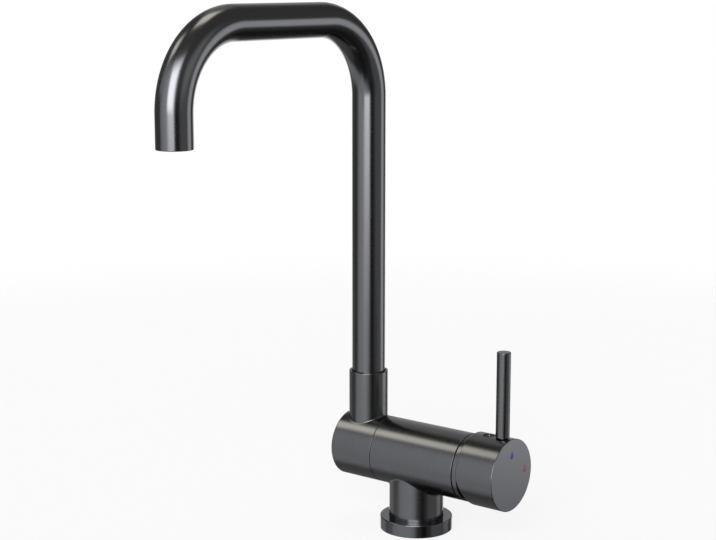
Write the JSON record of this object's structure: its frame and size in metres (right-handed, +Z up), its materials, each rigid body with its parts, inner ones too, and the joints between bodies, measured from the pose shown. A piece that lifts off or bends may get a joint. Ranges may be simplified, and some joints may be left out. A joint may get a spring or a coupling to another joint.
{
  "type": "fold-down kitchen mixer tap",
  "caption": "Single-lever kitchen mixer with a horizontal barrel: its tall swivelling spout folds forward about the barrel, and a cap handle with a pin lever mixes and opens the water.",
  "frame": {"origin": "centre of the flange's underside, on the worktop", "axes": "+X along the barrel towards the handle, -Y towards the sink (the spout's reach), +Z up"},
  "size_m": [0.1294, 0.215, 0.3455],
  "materials": {
    "gunmetal": "satin",
    "brass": "satin",
    "plain_steel": "satin",
    "seal_rubber": "matte",
    "disc_ceramic": "satin",
    "bearing_plastic": "satin",
    "plug_plastic": "satin",
    "mark_blue": "gloss",
    "mark_red": "gloss"
  },
  "bodies": {
    "root": {"base_flange": "gunmetal", "deck_gasket": "seal_rubber", "mixer_body": "gunmetal", "fold_spindle": "brass", "fold_o_rings": "seal_rubber", "fold_stop_pin": "plain_steel", "fold_disc_spring": "plain_steel", "fold_circlip": "plain_steel", "trim_ring": "gunmetal", "cartridge_housing": "bearing_plastic", "cartridge_base": "bearing_plastic", "port_seals": "seal_rubber", "fixed_disc": "disc_ceramic", "cartridge_nut": "brass"},
    "carrier": {"spout_carrier": "gunmetal", "end_cover": "gunmetal", "spout_retaining_screw": "plain_steel", "fold_friction_ring": "bearing_plastic", "fold_slip_washer": "bearing_plastic"},
    "spout": {"spout_tube": "gunmetal", "spout_nipple": "brass", "spout_o_rings": "seal_rubber", "spout_slip_ring": "bearing_plastic", "aerator_sleeve": "brass", "aerator_housing": "bearing_plastic", "aerator_seal": "seal_rubber", "aerator_insert": "bearing_plastic", "aerator_screen": "bearing_plastic"},
    "turret": {"cartridge_rotor": "bearing_plastic", "cartridge_pivot_pin": "plain_steel"},
    "handle": {"cartridge_stem": "plain_steel", "handle_cap": "gunmetal", "lever_pin": "gunmetal", "handle_grub_screw": "plain_steel", "grub_screw_plug": "plug_plastic", "cold_mark": "mark_blue", "hot_mark": "mark_red"},
    "valve_disc": {"moving_disc": "disc_ceramic", "disc_slider": "bearing_plastic"}
  },
  "joints": [
    {"name": "spout_fold", "type": "hinge", "parent": "root", "child": "carrier", "pos_m": [-0.0387, 0, 0.0494], "axis": [1, 0, 0], "range_deg": [0, 90]},
    {"name": "spout_swivel", "type": "hinge", "parent": "carrier", "child": "spout", "pos_m": [-0.0402, 0, 0.08], "axis": [0, 0, 1], "continuous": true},
    {"name": "handle_temperature", "type": "hinge", "parent": "root", "child": "turret", "pos_m": [0.04, 0, 0.0494], "axis": [1, 0, 0], "range_deg": [0, 90]},
    {"name": "handle_flow", "type": "hinge", "parent": "turret", "child": "handle", "pos_m": [0.042, 0, 0.0494], "axis": [0, 1, 0], "range_deg": [0, 14]},
    {"name": "disc_slide", "type": "slide", "parent": "turret", "child": "valve_disc", "axis": [0, 0, 1], "range_m": [0, 0.0042]}
  ],
  "couplings": [
    {"joint": "disc_slide", "follows": "handle_flow", "m_per_rad": 0.01683}
  ]
}
